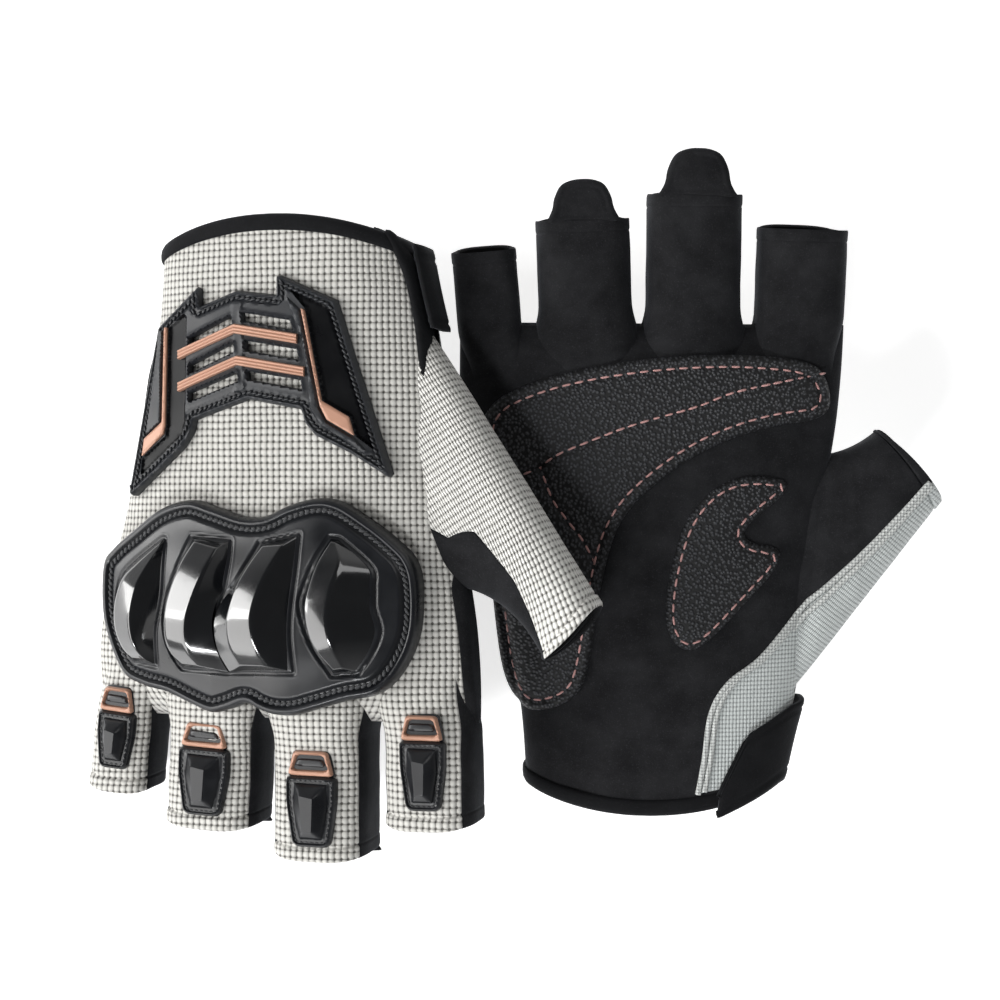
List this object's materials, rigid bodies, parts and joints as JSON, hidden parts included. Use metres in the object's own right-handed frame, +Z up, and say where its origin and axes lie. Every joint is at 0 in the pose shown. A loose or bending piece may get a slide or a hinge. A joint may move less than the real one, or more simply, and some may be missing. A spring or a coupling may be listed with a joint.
{
  "type": "half-finger riding gloves",
  "caption": "Half-finger riding gloves with hard knuckle guards, wrist straps, pull tabs and padded palm patches, one palm up and one back up.",
  "frame": {"origin": "centre of the footprint on the surface the gloves lie on", "axes": "+Z up; the lower glove's fingers point to +Y with its palm up; the upper glove's fingers point to -Y with its back up"},
  "size_m": [0.2199, 0.1793, 0.0622],
  "materials": {
    "grey_mesh": "coarse bead-weave mesh",
    "black_microfibre": "brushed microfibre suede",
    "binding": "felted stretch binding",
    "hard_shell": "gloss bosses on a satin shell",
    "trim_rubber": "moulded soft rubber",
    "accent_copper": "matte copper-coloured moulding",
    "patch_leather": "pebble-grain synthetic leather",
    "foam": "closed-cell foam",
    "hook_loop": "hook-and-loop tape",
    "thread": "twisted polyester thread"
  },
  "bodies": {
    "lower_hand": {"lower_dorsal_panel": "grey_mesh", "lower_palm_panel": "black_microfibre", "lower_cuff_binding": "binding", "lower_knuckle_guard": "hard_shell", "lower_knuckle_foam": "foam", "lower_wrist_trim": "trim_rubber", "lower_trim_accents": "accent_copper", "lower_palm_patch": "patch_leather", "lower_thumb_patch": "patch_leather", "lower_palm_foam": "foam", "lower_loop_patch": "hook_loop"},
    "lower_thumb": {"lower_thumb_back": "grey_mesh", "lower_thumb_front": "black_microfibre"},
    "lower_strap": {"lower_wrist_strap": "binding", "lower_hook_pad": "hook_loop"},
    "lower_index": {"lower_index_back": "grey_mesh", "lower_index_front": "black_microfibre", "lower_index_guard": "trim_rubber"},
    "lower_middle": {"lower_middle_back": "grey_mesh", "lower_middle_front": "black_microfibre", "lower_middle_guard": "trim_rubber"},
    "lower_ring": {"lower_ring_back": "grey_mesh", "lower_ring_front": "black_microfibre", "lower_ring_guard": "trim_rubber"},
    "lower_little": {"lower_little_back": "grey_mesh", "lower_little_front": "black_microfibre", "lower_little_guard": "trim_rubber"},
    "lower_ring_tab": {"lower_ring_tab": "black_microfibre"},
    "lower_middle_tab": {"lower_middle_tab": "black_microfibre"},
    "upper_hand": {"upper_dorsal_panel": "grey_mesh", "upper_palm_panel": "black_microfibre", "upper_cuff_binding": "binding", "upper_knuckle_guard": "hard_shell", "upper_knuckle_foam": "foam", "upper_wrist_trim": "trim_rubber", "upper_trim_accents": "accent_copper", "upper_palm_patch": "patch_leather", "upper_thumb_patch": "patch_leather", "upper_palm_foam": "foam", "upper_loop_patch": "hook_loop"},
    "upper_thumb": {"upper_thumb_back": "grey_mesh", "upper_thumb_front": "black_microfibre"},
    "upper_strap": {"upper_wrist_strap": "binding", "upper_hook_pad": "hook_loop"},
    "upper_index": {"upper_index_back": "grey_mesh", "upper_index_front": "black_microfibre", "upper_index_guard": "trim_rubber"},
    "upper_middle": {"upper_middle_back": "grey_mesh", "upper_middle_front": "black_microfibre", "upper_middle_guard": "trim_rubber"},
    "upper_ring": {"upper_ring_back": "grey_mesh", "upper_ring_front": "black_microfibre", "upper_ring_guard": "trim_rubber"},
    "upper_little": {"upper_little_back": "grey_mesh", "upper_little_front": "black_microfibre", "upper_little_guard": "trim_rubber"},
    "upper_ring_tab": {"upper_ring_tab": "black_microfibre"},
    "upper_middle_tab": {"upper_middle_tab": "black_microfibre"}
  },
  "joints": [
    {"name": "lift_apart", "type": "slide", "parent": "lower_hand", "child": "upper_hand", "axis": [0, 0, 1], "range_m": [0, 0.15]},
    {"name": "lower_index_flex", "type": "hinge", "parent": "lower_hand", "child": "lower_index", "pos_m": [0.06989, 0.04187, 0.04286], "axis": [0.9945, -0.0091, 0.1041], "range_deg": [0, 62], "stiffness_Nm_per_rad": 0.02},
    {"name": "lower_middle_flex", "type": "hinge", "parent": "lower_hand", "child": "lower_middle", "pos_m": [0.04264, 0.04403, 0.04119], "axis": [0.9945, -0.0091, 0.1041], "range_deg": [0, 65], "stiffness_Nm_per_rad": 0.02},
    {"name": "lower_ring_flex", "type": "hinge", "parent": "lower_hand", "child": "lower_ring", "pos_m": [0.01529, 0.04428, 0.03832], "axis": [0.9945, -0.0091, 0.1041], "range_deg": [0, 65], "stiffness_Nm_per_rad": 0.02},
    {"name": "lower_little_flex", "type": "hinge", "parent": "lower_hand", "child": "lower_little", "pos_m": [-0.00867, 0.0387, 0.03329], "axis": [0.9945, -0.0091, 0.1041], "range_deg": [0, 62], "stiffness_Nm_per_rad": 0.02},
    {"name": "lower_thumb_swing", "type": "hinge", "parent": "lower_hand", "child": "lower_thumb", "pos_m": [0.07278, -0.05008, 0.02453], "axis": [0.1045, 0.0867, -0.9907], "range_deg": [0, 20], "stiffness_Nm_per_rad": 0.03},
    {"name": "lower_strap_peel", "type": "hinge", "parent": "lower_hand", "child": "lower_strap", "pos_m": [0.0732, -0.06368, 0.01934], "axis": [0, 0.9962, 0.0872], "range_deg": [0, 110]},
    {"name": "lower_ring_tab_fold", "type": "hinge", "parent": "lower_ring", "child": "lower_ring_tab", "pos_m": [0.01409, 0.07212, 0.04078], "axis": [0.9936, 0.0344, 0.1078], "range_deg": [0, 90]},
    {"name": "lower_middle_tab_fold", "type": "hinge", "parent": "lower_middle", "child": "lower_middle_tab", "pos_m": [0.04263, 0.07784, 0.04429], "axis": [0.9945, -0.0091, 0.1041], "range_deg": [0, 90]},
    {"name": "upper_index_flex", "type": "hinge", "parent": "upper_hand", "child": "upper_index", "pos_m": [-0.02112, -0.0539, 0.03], "axis": [0.9367, 0, 0.3502], "range_deg": [0, 62], "stiffness_Nm_per_rad": 0.02},
    {"name": "upper_middle_flex", "type": "hinge", "parent": "upper_hand", "child": "upper_middle", "pos_m": [-0.04634, -0.0559, 0.01951], "axis": [0.9367, 0, 0.3502], "range_deg": [0, 65], "stiffness_Nm_per_rad": 0.02},
    {"name": "upper_ring_flex", "type": "hinge", "parent": "upper_hand", "child": "upper_ring", "pos_m": [-0.0721, -0.0559, 0.00988], "axis": [0.9367, 0, 0.3502], "range_deg": [0, 65], "stiffness_Nm_per_rad": 0.02},
    {"name": "upper_little_flex", "type": "hinge", "parent": "upper_hand", "child": "upper_little", "pos_m": [-0.09556, -0.0499, 0.00324], "axis": [0.9367, 0, 0.3502], "range_deg": [0, 62], "stiffness_Nm_per_rad": 0.02},
    {"name": "upper_thumb_swing", "type": "hinge", "parent": "upper_hand", "child": "upper_thumb", "pos_m": [-0.02311, 0.0393, 0.04047], "axis": [-0.3502, 0, 0.9367], "range_deg": [0, 25], "stiffness_Nm_per_rad": 0.03},
    {"name": "upper_strap_peel", "type": "hinge", "parent": "upper_hand", "child": "upper_strap", "pos_m": [-0.02451, 0.0533, 0.04421], "axis": [0, -1, 0], "range_deg": [0, 15]},
    {"name": "upper_ring_tab_fold", "type": "hinge", "parent": "upper_ring", "child": "upper_ring_tab", "pos_m": [-0.07316, -0.08385, 0.00932], "axis": [-0.9358, 0.0436, -0.3499], "range_deg": [0, 175]},
    {"name": "upper_middle_tab_fold", "type": "hinge", "parent": "upper_middle", "child": "upper_middle_tab", "pos_m": [-0.04628, -0.08985, 0.01937], "axis": [-0.9367, 0, -0.3502], "range_deg": [0, 175]}
  ]
}
